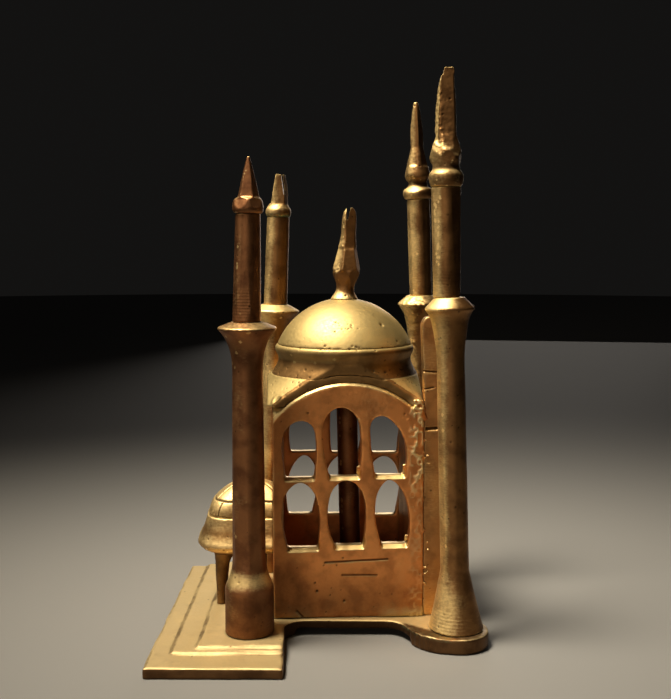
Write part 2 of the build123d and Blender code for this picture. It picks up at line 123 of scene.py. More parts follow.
def plain_floor():
    """A large round floor in one matt grey."""
    radius = 2.5
    grey = (0.20, 0.193, 0.183, 1)
    mesh = bpy.data.meshes.new("floor")
    shape = bmesh.new()
    bmesh.ops.create_circle(shape, cap_ends=True, segments=96, radius=radius)
    shape.to_mesh(mesh)
    shape.free()
    floor = bpy.data.objects.new("floor", mesh)
    bpy.context.scene.collection.objects.link(floor)
    material = bpy.data.materials.new("pale_floor")
    material.use_nodes = True
    surface = material.node_tree.nodes["Principled BSDF"]
    surface.inputs["Base Color"].default_value = grey
    surface.inputs["Roughness"].default_value = 0.85
    mesh.materials.append(material)


plain_floor()


# ---------------------------------------------------------------- materials
class Recipe:
    """Short calls for building a node tree."""

    def __init__(self, name):
        self.material = bpy.data.materials.new(name)
        self.material.use_nodes = True
        self.tree = self.material.node_tree
        self.surface = self.tree.nodes["Principled BSDF"]
        self.place = self.node("ShaderNodeTexCoord").outputs["Object"]

    def node(self, kind, **settings):
        made = self.tree.nodes.new(kind)
        for key, value in settings.items():
            setattr(made, key, value)
        return made

    def feed(self, socket, value):
        if isinstance(value, bpy.types.NodeSocket):
            self.tree.links.new(value, socket)
        else:
            socket.default_value = value

    def noise(self, size, detail=3.0, stretch=(1, 1, 1), distortion=0.0):
        """Noise from 0 to 1 whose lumps are so many millimetres across."""
        mapping = self.node("ShaderNodeMapping")
        self.feed(mapping.inputs["Vector"], self.place)
        mapping.inputs["Scale"].default_value = [1 / (MM * size * s) for s in stretch]
        noise = self.node("ShaderNodeTexNoise")
        self.feed(noise.inputs["Vector"], mapping.outputs["Vector"])
        noise.inputs["Scale"].default_value = 1.0
        noise.inputs["Detail"].default_value = detail
        noise.inputs["Distortion"].default_value = distortion
        return noise.outputs["Fac"]

    def cells(self, size):
        """The distance from the middle of cells of this size, for pits."""
        mapping = self.node("ShaderNodeMapping")
        self.feed(mapping.inputs["Vector"], self.place)
        mapping.inputs["Scale"].default_value = [1 / (MM * size)] * 3
        cells = self.node("ShaderNodeTexVoronoi")
        self.feed(cells.inputs["Vector"], mapping.outputs["Vector"])
        cells.inputs["Scale"].default_value = 1.0
        return cells.outputs["Distance"]

    def remap(self, value, low, high, new_low=0.0, new_high=1.0):
        ramp = self.node("ShaderNodeMapRange", interpolation_type="SMOOTHSTEP")
        self.feed(ramp.inputs["Value"], value)
        ramp.inputs["From Min"].default_value = low
        ramp.inputs["From Max"].default_value = high
        ramp.inputs["To Min"].default_value = new_low
        ramp.inputs["To Max"].default_value = new_high
        return ramp.outputs["Result"]

    def math(self, operation, first, second=0.0):
        made = self.node("ShaderNodeMath", operation=operation)
        self.feed(made.inputs[0], first)
        self.feed(made.inputs[1], second)
        return made.outputs[0]

    def mix(self, factor, first, second):
        made = self.node("ShaderNodeMix", data_type="RGBA")
        self.feed(made.inputs["Factor"], factor)
        self.feed(made.inputs["A"], first)
        self.feed(made.inputs["B"], second)
        return made.outputs["Result"]

    def attribute(self, name):
        return self.node("ShaderNodeAttribute", attribute_name=name).outputs["Fac"]

    def bump(self, height, distance, strength, under=None):
        made = self.node("ShaderNodeBump")
        self.feed(made.inputs["Height"], height)
        made.inputs["Distance"].default_value = distance * MM
        made.inputs["Strength"].default_value = strength
        if under is not None:
            self.feed(made.inputs["Normal"], under)
        return made.outputs["Normal"]


# Colours that every brass shares.
# The dark colour that dirt and painted shade are both mixed towards.
DIRT_AND_SHADE = (0.030, 0.016, 0.008, 1)
VERDIGRIS = (0.16, 0.22, 0.12, 1)
SOLDER = (0.86, 0.66, 0.33, 1)


def wear_and_shade_share(recipe, geometry, specks, cover, upward_brightening, mottle):
    """How much of the surface is rubbed bright, 0 to 1, lowered where patina is kept and where shade
    is painted in.
    """
    upward = recipe.node("ShaderNodeSeparateXYZ")
    recipe.feed(upward.inputs[0], geometry.outputs["Normal"])
    up = recipe.remap(upward.outputs["Z"], 0.05, 0.8)
    edge = recipe.remap(geometry.outputs["Pointiness"], 0.505, 0.56)
    patches = recipe.noise(size=13.0, detail=5.0, distortion=0.6)
    streaks = recipe.noise(size=1.6, detail=4.0, stretch=(1, 1, 0.12))
    fine = 0.4 * mottle
    wear_and_shade_mix = recipe.math("ADD", recipe.remap(patches, 0.35, 0.70, -mottle, mottle), 1.0 - cover)
    wear_and_shade_mix = recipe.math("ADD", wear_and_shade_mix, recipe.remap(specks, 0.3, 0.7, -fine, fine))
    wear_and_shade_mix = recipe.math("ADD", wear_and_shade_mix, recipe.remap(streaks, 0.3, 0.7, -fine, fine))
    # Faces that look up are made brighter in colour.
    wear_and_shade_mix = recipe.math("ADD", wear_and_shade_mix, recipe.math("MULTIPLY", up, upward_brightening))
    wear_and_shade_mix = recipe.math("ADD", wear_and_shade_mix, recipe.math("MULTIPLY", edge, 0.55))
    # Less rubbed where patina is kept and where shade is painted in as brown.
    wear_and_shade_mix = recipe.math("SUBTRACT", wear_and_shade_mix, recipe.attribute("patina_and_shade"))
    return recipe.remap(wear_and_shade_mix, 0.0, 1.0)


def dirtied_and_shaded(recipe, geometry, dirt_and_shade, colour):
    """The colour darkened towards a dark colour: painted shade and grime in the creases and in the
    corners between pieces, and dirt in the cuts with painted shade in places, from an attribute.
    """
    # Painted shade and grime in concave creases, read from pointiness.
    crease = recipe.remap(geometry.outputs["Pointiness"], 0.495, 0.44)
    colour = recipe.mix(recipe.math("MULTIPLY", crease, 0.5), colour, DIRT_AND_SHADE)
    # Painted shade and grime in the corners between pieces, read from ambient occlusion.
    corner = recipe.node("ShaderNodeAmbientOcclusion", samples=8)
    corner.inputs["Distance"].default_value = 2.2 * MM
    corner_grime_and_shade = recipe.remap(corner.outputs["AO"], 0.75, 0.35)
    colour = recipe.mix(recipe.math("MULTIPLY", corner_grime_and_shade, 0.5), colour, DIRT_AND_SHADE)
    # Dirt in the cuts, and painted shade where a casting marks it.
    return recipe.mix(recipe.math("MULTIPLY", dirt_and_shade, 0.85), colour, DIRT_AND_SHADE)


def cast_grain(recipe):
    """Casting grain, fine scratches and small pits, as a bumped normal."""
    grain = recipe.noise(size=0.7, detail=5.0)
    normal = recipe.bump(grain, distance=0.06, strength=0.30)
    scratches = recipe.remap(recipe.noise(size=0.5, detail=2.0, stretch=(12, 1, 1)), 0.62, 0.72)
    normal = recipe.bump(scratches, distance=0.03, strength=0.20, under=normal)
    small_pits = recipe.remap(recipe.cells(size=3.4), 0.04, 0.12)
    return recipe.bump(small_pits, distance=0.08, strength=0.4, under=normal)


def aged_brass(name, rubbed, patina, stain, cover, shine, dull, upward_brightening=0.5, mottle=0.25):
    """Old brass: rubbed where hands and cloths reach, browned elsewhere, and browned and darkened
    where shade is painted in.

    rubbed, patina and stain are colours; cover is how much of it the patina covers, about 1
    for all of it; shine and dull are the roughness of rubbed and of browned metal; upward_brightening
    is how much brighter the faces that look up are; mottle is how patchy the patina is."""
    recipe = Recipe(name)
    geometry = recipe.node("ShaderNodeNewGeometry")
    specks = recipe.noise(size=0.8, detail=4.0)
    dirt_and_shade = recipe.attribute("dirt_and_shade")
    wear_and_shade_mix = wear_and_shade_share(recipe, geometry, specks, cover, upward_brightening, mottle)

    stains = recipe.remap(recipe.noise(size=6.0, detail=4.0), 0.40, 0.68)
    browned = recipe.mix(stains, patina, stain)
    colour = dirtied_and_shaded(recipe, geometry, dirt_and_shade, recipe.mix(wear_and_shade_mix, browned, rubbed))
    colour = recipe.mix(recipe.attribute("solder"), colour, SOLDER)
    green = recipe.math("MULTIPLY", recipe.attribute("green"), recipe.remap(specks, 0.35, 0.6))
    colour = recipe.mix(green, colour, VERDIGRIS)
    recipe.feed(recipe.surface.inputs["Base Color"], colour)

    recipe.surface.inputs["Metallic"].default_value = 1.0
    rough = recipe.remap(wear_and_shade_mix, 0.0, 1.0, dull, shine)
    rough = recipe.math("ADD", rough, recipe.remap(specks, 0.3, 0.7, -0.04, 0.06))
    rough = recipe.math("ADD", rough, recipe.math("MULTIPLY", dirt_and_shade, 0.25))
    recipe.feed(recipe.surface.inputs["Roughness"], rough)
    recipe.feed(recipe.surface.inputs["Normal"], cast_grain(recipe))
    return recipe.material


# One finish for each of the record's material slots.
finishes = {
    "plate_brass": dict(
        rubbed=(0.64, 0.49, 0.25, 1), patina=(0.15, 0.078, 0.034, 1), stain=(0.09, 0.045, 0.02, 1),
        cover=1.05, shine=0.62, dull=0.50, upward_brightening=1.1, mottle=0.16,
    ),
    "panel_copper_brass": dict(
        rubbed=(0.92, 0.68, 0.31, 1), patina=(0.88, 0.365, 0.115, 1), stain=(0.60, 0.235, 0.075, 1),
        cover=1.0, shine=0.42, dull=0.46, upward_brightening=1.2, mottle=0.18,
    ),
    "wall_brass": dict(
        rubbed=(0.74, 0.50, 0.22, 1), patina=(0.52, 0.27, 0.10, 1), stain=(0.34, 0.17, 0.065, 1),
        cover=0.75, shine=0.36, dull=0.48,
    ),
    "dome_brass": dict(
        rubbed=(0.58, 0.435, 0.185, 1), patina=(0.32, 0.18, 0.066, 1), stain=(0.20, 0.11, 0.04, 1),
        cover=0.58, shine=0.57, dull=0.52, upward_brightening=0.8, mottle=0.08,
    ),
    "porch_brass": dict(
        rubbed=(0.80, 0.60, 0.28, 1), patina=(0.34, 0.19, 0.07, 1), stain=(0.22, 0.12, 0.045, 1),
        cover=0.60, shine=0.56, dull=0.52, mottle=0.18,
    ),
    "tower_brass": dict(
        rubbed=(0.93, 0.69, 0.31, 1), patina=(0.30, 0.15, 0.055, 1), stain=(0.17, 0.08, 0.03, 1),
        cover=0.40, shine=0.56, dull=0.50, mottle=0.18,
    ),
    "dark_brass": dict(
        rubbed=(0.85, 0.62, 0.28, 1), patina=(0.27, 0.12, 0.050, 1), stain=(0.16, 0.066, 0.029, 1),
        cover=1.0, shine=0.48, dull=0.50, mottle=0.20,
    ),
}
materials = {slot: aged_brass(slot, **finish) for slot, finish in finishes.items()}


# ---------------------------------------------------------------- working on a casting
# Large odd numbers that scatter a cell's three places into one number that looks random.
SCATTER = (374761393, 668265263, 1440662683)
STIR = 1274126177


def unevenness(points, size, seed):
    """Smooth noise from -1 to 1 at each point, in lumps of this size."""
    place = points / size + 31.7 * seed  # each seed reads another stretch of the noise
    cell = np.floor(place).astype(np.int64)
    t = place - cell
    t = t * t * (3 - 2 * t)
    total = np.zeros(len(points))
    for corner in itertools.product((0, 1), repeat=3):
        mixed = (cell + corner) @ np.array(SCATTER)
        mixed = (mixed ^ (mixed >> 13)) * STIR
        value = ((mixed ^ (mixed >> 16)) & 0xFFFF) / 32767.5 - 1
        total += value * np.prod(np.abs(1 - np.array(corner) - t), axis=1)
    return total


def falloff(distance, reach):
    """1 at a distance of 0, sinking smoothly to 0 at the reach."""
    t = np.clip(1 - distance / reach, 0, 1)
    return t * t * (3 - 2 * t)


def ramp(value, length):
    """0 up to a value of 0, then rising straight to 1 at this length."""
    return np.clip(value / length, 0, 1)


def to_segment(points, start, end):
    """Each point's distance from a straight stretch."""
    start = np.array(start, float)
    along = np.array(end, float) - start
    t = np.clip((points - start) @ along / (along @ along), 0, 1)
    return np.linalg.norm(points - start - t[:, None] * along, axis=1)


class Casting:
    """A CAD node's surface, meshed finely enough to carry tool marks.

    voxel is how fine the mesh is, rounds how often it is smoothed, and beads are drops of
    metal, each a centre and a radius, that are meshed together with it."""

    def __init__(self, node, voxel, rounds, beads=(), ground=0.0):
        self.node = node
        self.ground = ground  # where heights are measured from
        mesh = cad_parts[node].data.copy()
        shape = bmesh.new()
        shape.from_mesh(mesh)
        bmesh.ops.remove_doubles(shape, verts=shape.verts, dist=1e-7)
        for centre, radius in beads:
            place = Matrix.Translation(Vector(centre) * MM)
            bmesh.ops.create_icosphere(shape, subdivisions=2, radius=radius * MM, matrix=place)
        shape.to_mesh(mesh)
        shape.free()
        self.piece = bpy.data.objects.new(node + "_casting", mesh)
        bpy.context.scene.collection.objects.link(self.piece)
        remesh = self.piece.modifiers.new("remesh", "REMESH")
        remesh.mode = "VOXEL"
        remesh.voxel_size = voxel * MM
        smooth = self.piece.modifiers.new("smooth", "SMOOTH")
        smooth.factor = 0.5
        smooth.iterations = rounds
        bpy.context.view_layer.update()
        made = self.piece.evaluated_get(bpy.context.evaluated_depsgraph_get())
        self.piece.data = bpy.data.meshes.new_from_object(made)
        self.piece.modifiers.clear()
        self.mesh = self.piece.data
        count = len(self.mesh.vertices)
        flat = np.empty(count * 3)
        self.mesh.vertices.foreach_get("co", flat)
        self.points = flat.reshape(-1, 3) / MM
        normals = np.empty(count * 3)
        self.mesh.vertices.foreach_get("normal", normals)
        self.normals = normals.reshape(-1, 3)
        # How dark (dirt, and painted shade), how soldered, how green with verdigris and how brown
        # (patina, and painted shade) each point is.
        self.dirt_and_shade = np.zeros(count)
        self.solder = np.zeros(count)
        self.green = np.zeros(count)
        self.patina_and_shade = np.zeros(count)
        self.seed = sum(ord(letter) * (i + 1) for i, letter in enumerate(node)) % 997
        self.chance = np.random.default_rng(self.seed)

    def raise_by(self, height):
        """Moves each point out along its normal."""
        self.points += self.normals * height[:, None]

    # Darkens where dirt gathers in cuts and pits, and where shade is painted in.
    def darken(self, darkness):
        self.dirt_and_shade = np.maximum(self.dirt_and_shade, darkness)

    def sink(self, shape, depth, darkness=1.0):
        """Cuts to this depth where shape is 1, and lets dirt gather there."""
        self.raise_by(-depth * shape)
        self.darken(shape * darkness)

    def lumps(self, size, height):
        self.raise_by(height * unevenness(self.points, size, self.seed))

    def pits(self, count, radius, depth, where=None, darkness=0.9):
        """Blow holes at random points, of those picked by where if it is given."""
        spots = np.arange(len(self.points)) if where is None else np.flatnonzero(where)
        for spot in self.chance.choice(spots, count):
            size = radius * self.chance.uniform(0.5, 1.5)
            distance = np.linalg.norm(self.points - self.points[spot], axis=1)
            self.sink(falloff(distance, size), depth * size / radius, darkness)

    def soften(self, rounds):
        """Rounds the marks made so far: each point moves half way to its neighbours' middle."""
        ends = np.empty(len(self.mesh.edges) * 2, int)
        self.mesh.edges.foreach_get("vertices", ends)
        first, second = ends.reshape(-1, 2).T
        count = len(self.points)
        neighbours = np.bincount(ends, minlength=count)
        for _ in range(rounds):
            for axis in range(3):
                place = self.points[:, axis]
                total = np.bincount(first, place[second], count)
                total += np.bincount(second, place[first], count)
                self.points[:, axis] += 0.5 * (total / neighbours - place)

    def cast_skin(self, lump=0.06, grain=0.02, pits=30):
        """What every casting has: uneven faces, a fine grain and blow holes."""
        self.lumps(size=9.0, height=lump)
        self.lumps(size=3.2, height=lump * 0.4)
        self.lumps(size=0.9, height=grain)
        self.pits(pits, radius=0.4, depth=0.14)

    def height(self):
        return self.points[:, 2] - self.ground

    def find_axis(self, low=-math.inf, high=math.inf):
        """Fits a straight line up the middle of what lies between two heights."""
        z = self.height()
        part = (z > low) & (z < high)
        self.axis = np.polyfit(z[part], self.points[part, :2], 1)

    def from_axis(self):
        """Each point's place in plan, from the line that find_axis fitted."""
        return self.points[:, :2] - np.outer(self.height(), self.axis[0]) - self.axis[1]

    def file_cut(self, azimuth, low, high, fade=0.8):
        """A filed flat that looks towards an azimuth, in degrees; -90 is the front, 180 the left.

        low and high are how far from the axis it stands, and at which height."""
        angle = math.radians(azimuth)
        facing = np.array([math.cos(angle), math.sin(angle)])
        z = self.height()
        (near, bottom), (far, top) = low, high
        line = near + (z - bottom) * (far - near) / (top - bottom)
        within = np.clip((z - bottom) / fade + 1, 0, 1) * np.clip((top - z) / fade + 1, 0, 1)
        cut = np.clip(self.from_axis() @ facing - line, 0, None) * within
        self.points[:, :2] -= cut[:, None] * facing

    def file_cuts(self, cuts):
        """Each row of cuts is the azimuths of its flats, and the low and high of file_cut."""
        for azimuths, low, high in cuts:
            for azimuth in azimuths:
                self.file_cut(azimuth, low, high)

    def rings(self, low, high, spacing, depth):
        """Fine rings left by a lathe, between two heights."""
        z = self.height()
        wave = 0.5 + 0.5 * np.cos(z * math.tau / spacing)
        within = ramp(z - low, 0.5) * ramp(high - z, 0.4 * (high - low))
        self.raise_by(-depth * wave * within * (0.7 + 0.3 * unevenness(self.points, 2.0, self.seed)))

    def paint_shade_side(self, azimuth, amount):
        """Browns the side that looks this way, in degrees, with the patina colour: painted shade on
        the side that the light misses.
        """
        angle = math.radians(azimuth)
        facing = self.normals[:, 0] * math.cos(angle) + self.normals[:, 1] * math.sin(angle)
        uneven = 0.25 * unevenness(self.points * (1, 1, 0.2), 5.0, self.seed)
        self.patina_and_shade += amount * np.clip(facing + uneven + 0.1, 0, 1)

    def ragged_top(self, reach, depth):
        """Breaks the top up, and never makes it taller."""
        z = self.points[:, 2]
        bite = 0.5 + 0.5 * unevenness(self.points, 1.3, self.seed + 5)
        z -= falloff(z.max() - z, reach) * bite * depth

    def finish(self, slot):
        """Writes the casting back, inside the CAD's box, and puts it in its node's place."""
        self.points = np.clip(self.points, *np.array(cad_box) / MM)
        self.mesh.vertices.foreach_set("co", (self.points * MM).ravel())
        for name in ("dirt_and_shade", "solder", "green", "patina_and_shade"):
            attribute = self.mesh.attributes.new(name, "FLOAT", "POINT")
            least = -1 if name == "patina_and_shade" else 0  # less than none is rubbed bright
            value = np.clip(getattr(self, name), least, 2)
            attribute.data.foreach_set("value", value.astype(np.float32))
        self.mesh.shade_smooth()
        self.mesh.update()
        self.mesh.materials.clear()
        self.mesh.materials.append(materials[slot])
        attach(self.piece, "root")
        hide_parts(self.node)


# ---------------------------------------------------------------- frames taken from the CAD
def middle(node):
    """The middle of a node's box, in millimetres."""
    low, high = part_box(node)
    return np.array((low + high) / 2) / MM


hall_turn = math.radians(3.6)
across = np.array([math.cos(hall_turn), math.sin(hall_turn), 0])
backward = np.array([-math.sin(hall_turn), math.cos(hall_turn), 0])
dome_axis = middle("dome_shell") * (1, 1, 0)
deck = round(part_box("base_plate")[1].z / MM, 3)  # the plate's top
facade_front = -22.5  # in front of the dome's axis, measured square to the hall


def in_hall(points):
    """Points in the hall's own directions: across, backward and up, from the dome's axis."""
    offset = points - dome_axis
    return np.stack((offset @ across, offset @ backward, offset[:, 2]), axis=1)


def from_hall(x, y, z):
    """The place in the scene, in millimetres, of a place in the hall's own directions."""
    return dome_axis + across * x + backward * y + np.array([0, 0, z])


# ---------------------------------------------------------------- front and rear panels
# Each window's sill on the facade: its two ends and its height.
sills = (
    (-20.0, -11.0, 50.6), (-6.0, 3.5, 50.9), (8.6, 17.9, 51.2),
    (-19.3, -9.6, 27.8), (-4.3, 4.9, 28.4), (10.6, 18.8, 28.6),
)
# Burrs of metal at the lower right corners of the windows: across, up and radius.
window_burrs = (
    (-10.4, 52.6, 0.55), (3.2, 53.6, 0.85), (3.4, 52.4, 0.6), (17.6, 54.2, 0.6),
    (17.3, 52.8, 0.7), (-9.6, 30.2, 0.45), (4.9, 30.6, 0.5), (18.4, 31.2, 0.55),
)
# A curl of metal at the end of the roof's edge: across, up and radius.
roof_edge_curl = (
    (22.6, 71.9, 1.5), (23.4, 70.7, 1.5), (24.1, 69.5, 1.4), (23.6, 72.6, 1.3), (22.3, 73.6, 1.0),
    (21.4, 74.6, 0.8),
)
# Scribed lines under the windows: two ends and the depth.
scribed_lines = (
    ((-7.5, 0, 23.2), (12.6, 0, 24.0), 0.45),
    ((-2.1, 0, 19.0), (9.1, 0, 18.8), 0.35),
)
lower_edge_nick = ((-16.5, 0, 7.4), (-14.6, 0, 5.4))
# Blow holes in the facade: across, up and radius.
blow_holes = (
    (-10.7, 16.6, 0.7), (-10.1, 13.9, 1.0), (-5.9, 12.5, 0.6), (-1.4, 10.5, 0.9),
    (-0.8, 6.8, 0.5), (-7.2, 6.9, 0.6), (14.0, 12.5, 0.5), (-1.8, 24.6, 0.5),
    (-12.8, 71.5, 0.6), (-12.8, 67.4, 0.5),
)


def slope_sills(casting, ends, face, outward):
    """Files each sill to a slope towards the outside, a little uneven."""
    lean, rise = 0.55, 0.84  # the slope looks this much out of the wall and this much up
    slope_width, end_overlap, end_fade = 1.8, 0.6, 0.8
    reach_up, reach_in, deepest = 2.6, 3.2, 1.9
    place = in_hall(casting.points)
    depth = (place[:, 1] - face) * outward  # 0 at the face, negative further in
    uneven = 0.25 * unevenness(place * (1, 0, 0), 1.9, 7)
    for left, right, height in ends:
        above = (place[:, 2] - height) * rise + (depth + slope_width) * lean + uneven * 0.5
        span = ramp(place[:, 0] - left + end_overlap, end_fade)
        span *= ramp(right + end_overlap - place[:, 0], end_fade)
        near = (np.abs(place[:, 2] - height) < reach_up) & (depth > -reach_in)
        cut = np.where(near, np.clip(above, 0, deepest), 0) * span
        casting.points -= cut[:, None] * (lean * outward * backward + np.array([0, 0, rise]))
        # The filed slopes are made bright: bare filed metal, and painted light on the sills that catch
        # the light from above.
        casting.patina_and_shade -= 0.9 * span * np.where(near, np.clip(cut * 3, 0, 1), 0)  # freshly filed


def facade_beads():
    """Burrs, solder and the roof edge's curl, which are remeshed together with the panel."""
    beads = [(from_hall(x, facade_front + 1.2, z), radius) for x, z, radius in window_burrs]
    # Drops of solder along the seam with the corner bar, closer together towards the roof.
    seam, top, fall, count = 22.6, 75, 60, 90
    drops = np.random.default_rng(5)
    for z in top - fall * drops.random(count) ** 1.6:
        x = drops.normal(seam, 1.5)
        radius = drops.uniform(0.40, 0.62)
        beads.append((from_hall(x, facade_front + 0.30, z), radius))
    for x, z, radius in roof_edge_curl:
        beads.append((from_hall(x, facade_front + 1.3, z), radius))
    return beads


def mark_facade(casting, place, outside):
    """The scribed lines, the nick at the lower edge and the blow holes."""
    flat = place * (1, 0, 1)
    for start, end, depth in scribed_lines:
        casting.sink(falloff(to_segment(flat, start, end), 0.55) * outside, depth)
    casting.sink(falloff(to_segment(flat, *lower_edge_nick), 0.6) * outside, 0.5)
    for x, z, radius in blow_holes:
        distance = np.linalg.norm(flat - (x, 0, z), axis=1)
        casting.sink(falloff(distance, radius) * outside, 0.5 * radius)


def solder_facade(casting, place, outside):
    """The rough strip of solder beside the corner bar, and the fillet at the panel's foot."""
    strip_middle, strip_reach = 21.9, 3.4
    strip = np.clip(1.6 * falloff(np.abs(place[:, 0] - strip_middle), strip_reach), 0, 1) * outside
    strip *= 0.25 + 0.75 * ramp(place[:, 2] - 40, 16)  # thin low down, thick near the roof
    ridges = np.clip(1.3 - 4.5 * np.abs(unevenness(place * (1, 1, 0.8), 1.2, 3)), 0, 1)
    ridges *= np.clip(unevenness(place, 2.2, 4) * 2 + 0.9, 0, 1)
    casting.raise_by(strip * (0.04 + 0.36 * ridges))
    foot = falloff(np.abs(place[:, 2] - 5.5), 3.4) * ramp(place[:, 0] - 8, 5) * outside
    casting.raise_by(0.35 * foot)
    casting.solder = strip * np.clip(1.6 * ridges, 0, 1)
    casting.patina_and_shade -= 0.3 * foot


def wear_and_shade_facade(casting, place, outside):
    """Bright where a cloth has rubbed the foot's two ends, with painted shade to the left and low
    down.
    """
    foot = falloff(place[:, 2] - deck, 7.0) * outside
    towards_ends = ramp(np.abs(place[:, 0] - 2) - 7, 12)
    casting.patina_and_shade -= 0.40 * foot * towards_ends
    # Painted shade to the left and low down.
    to_the_left = ramp(-10 - place[:, 0], 9)
    low_down = falloff(place[:, 2] - 7, 19.0)
    shade = to_the_left * 0.55 + low_down * 0.65
    casting.darken(np.clip(shade, 0, 0.75) * outside)


def front_panel():
    casting = Casting("front_panel", voxel=0.34, rounds=9, beads=facade_beads())
    casting.cast_skin(lump=0.07, grain=0.015, pits=50)
    slope_sills(casting, sills, facade_front, -1)
    place = in_hall(casting.points)
    outside = place[:, 1] < facade_front + 1.2
    mark_facade(casting, place, outside)
    solder_facade(casting, place, outside)
    wear_and_shade_facade(casting, place, outside)
    casting.finish("panel_copper_brass")


def rear_panel():
    casting = Casting("rear_panel", voxel=0.38, rounds=10)
    casting.cast_skin(lump=0.07, grain=0.015, pits=50)
    face = in_hall(casting.points)[:, 1].max()
    mirrored = [(-right, -left, height) for left, right, height in sills]
    slope_sills(casting, mirrored, face, 1)
    casting.finish("panel_copper_brass")


# ---------------------------------------------------------------- side walls and corner bar
def walls():
    for node in ("left_wall", "right_wall"):
        casting = Casting(node, voxel=0.45, rounds=8)
        casting.cast_skin(lump=0.10, grain=0.02, pits=60)
        # Vertical strokes of a coarse file.
        casting.raise_by(0.05 * unevenness(casting.points * (1, 1, 0.06), 1.3, 11))
        casting.finish("wall_brass")


def corner_bar():
    casting = Casting("corner_bar", voxel=0.28, rounds=6)
    casting.cast_skin(lump=0.06, grain=0.02, pits=25)
    place = in_hall(casting.points)
    front = place[:, 1] < facade_front + 2.2
    flat = place * (1, 0, 1)
    # Two saw cuts and a deeper slot: two ends, the width and the depth.
    saw_cuts = (
        ((23.6, 0, 84.4), (29.0, 0, 84.0), 0.5, 0.55),
        ((23.8, 0, 78.6), (26.8, 0, 79.2), 0.45, 0.45),
        ((24.8, 0, 65.9), (28.0, 0, 66.1), 0.8, 0.9),
    )
    for start, end, width, depth in saw_cuts:
        casting.sink(falloff(to_segment(flat, start, end), width) * front, depth, darkness=0.7)
    casting.finish("wall_brass")


# ---------------------------------------------------------------- roof, drum, dome and finial
def roof():
    fillet_radius, fillet_width, fillet_rise = 24.6, 3.0, 0.7
    whorl_middle, whorl_reach = (-21.6, -19.6, 74.5), 4.0
    bar_corner = (22.0, -20.5, 73.5)
    seam_radius = 26.0
    casting = Casting("roof", voxel=0.38, rounds=8)
    casting.cast_skin(lump=0.06, grain=0.015, pits=30)
    place = in_hall(casting.points)
    # A soft fillet up to the drum.
    spread = np.hypot(place[:, 0], place[:, 1])
    rise = np.clip(1 - np.abs(spread - fillet_radius) / fillet_width, 0, 1) ** 2
    casting.points[:, 2] += fillet_rise * (rise * (casting.normals[:, 2] > 0.25))
    # A hammered whorl at the left front corner.
    whorl = np.linalg.norm(place - whorl_middle, axis=1)
    waves = np.cos(whorl * 2.6 + unevenness(place, 1.5, 2))
    casting.raise_by(falloff(whorl, whorl_reach) * 0.28 * waves)
    casting.dirt_and_shade = falloff(whorl, 3.6) * np.clip(-np.cos(whorl * 2.6), 0, 1) * 0.6
    # Solder where the roof meets the corner bar, and a seam of pits under the drum.
    corner = np.linalg.norm(place - bar_corner, axis=1)
    casting.raise_by(falloff(corner, 5.0) * (0.15 + 0.15 * unevenness(place, 1.4, 9)))
    casting.solder = falloff(corner, 4.5) * 0.8
    seam = (np.abs(spread - seam_radius) < 1.2) & (place[:, 2] > 78)
    casting.pits(70, radius=0.4, depth=0.15, where=seam)
    # The roof's front face is browned: patina, and painted shade on a face that the light from above
    # misses.
    in_front = in_hall(casting.normals + dome_axis)[:, 1] < -0.5
    casting.patina_and_shade = 1.2 * in_front * (place[:, 1] < facade_front + 2)
    casting.finish("dome_brass")


def drum():
    rim, foot, painted_shadow_height = 90.6, 85, 83.9  # heights
    casting = Casting("drum_ring", voxel=0.34, rounds=8)
    casting.cast_skin(lump=0.04, grain=0.02, pits=20)
    z = casting.points[:, 2]
    pitted = (z > rim) | ((z < foot) & (casting.normals[:, 2] > 0))
    casting.pits(170, radius=0.4, depth=0.16, where=pitted)
    # The band under the rim is browned: a painted shadow cast by the rim.
    casting.patina_and_shade = 1.9 * np.clip(1.6 * falloff(np.abs(z - painted_shadow_height), 3.4), 0, 1)
    # Painted shade on the side away from the light.
    casting.paint_shade_side(-20, 0.5)
    casting.finish("dome_brass")


def dome():
    casting = Casting("dome_shell", voxel=0.36, rounds=6)
    casting.cast_skin(lump=0.025, grain=0.012, pits=20)
    place = in_hall(casting.points)
    # A patch of pits at the front, a dent right of it, and a pitted line along the rim.
    patch = np.linalg.norm(place - (-1.4, -17.8, 98.6), axis=1) < 3.6
    casting.pits(26, radius=0.32, depth=0.14, where=patch)
    dent = np.linalg.norm(place - (11.2, -14.2, 98.7), axis=1)
    casting.sink(falloff(dent, 1.1), 0.5)
    casting.pits(140, radius=0.4, depth=0.18, where=casting.points[:, 2] < 92.6)
    casting.finish("dome_brass")


def finial():
    casting = Casting("dome_finial", voxel=0.2, rounds=4)
    casting.find_axis(107, 128)
    casting.file_cuts((
        ((-75, -135, 165, 105, 45, -15), (4.25, 115.6), (2.75, 122.8)),
        ((-105, -45, 15, 75, 135, 195), (3.0, 110.6), (4.2, 115.2)),
        ((-70,), (2.35, 123.2), (1.1, 136.0)),
    ))
    casting.soften(9)
    # Painted shade on the side away from the light.
    casting.paint_shade_side(-40, 0.9)
    # Painted shade on the bulb's lower half.
    casting.patina_and_shade += 0.6 * falloff(np.abs(casting.points[:, 2] - 112.5), 5.0)
    casting.cast_skin(lump=0.07, grain=0.03, pits=16)
    casting.ragged_top(reach=2.5, depth=0.8)
    casting.patina_and_shade -= 0.5 * falloff(casting.points[:, 2] - 106, 5)
    casting.finish("tower_brass")


def tie():
    """The rod seen through the windows, and its nut under the plate."""
    for node, voxel, pits in (("tie_post", 0.32, 20), ("tie_nut", 0.16, 4)):
        casting = Casting(node, voxel, rounds=4)
        casting.cast_skin(lump=0.04, grain=0.02, pits=pits)
        casting.finish("dark_brass")


# ---------------------------------------------------------------- porch
porch_centre = (-31.1, 0.9)  # across and backward, in the hall's directions


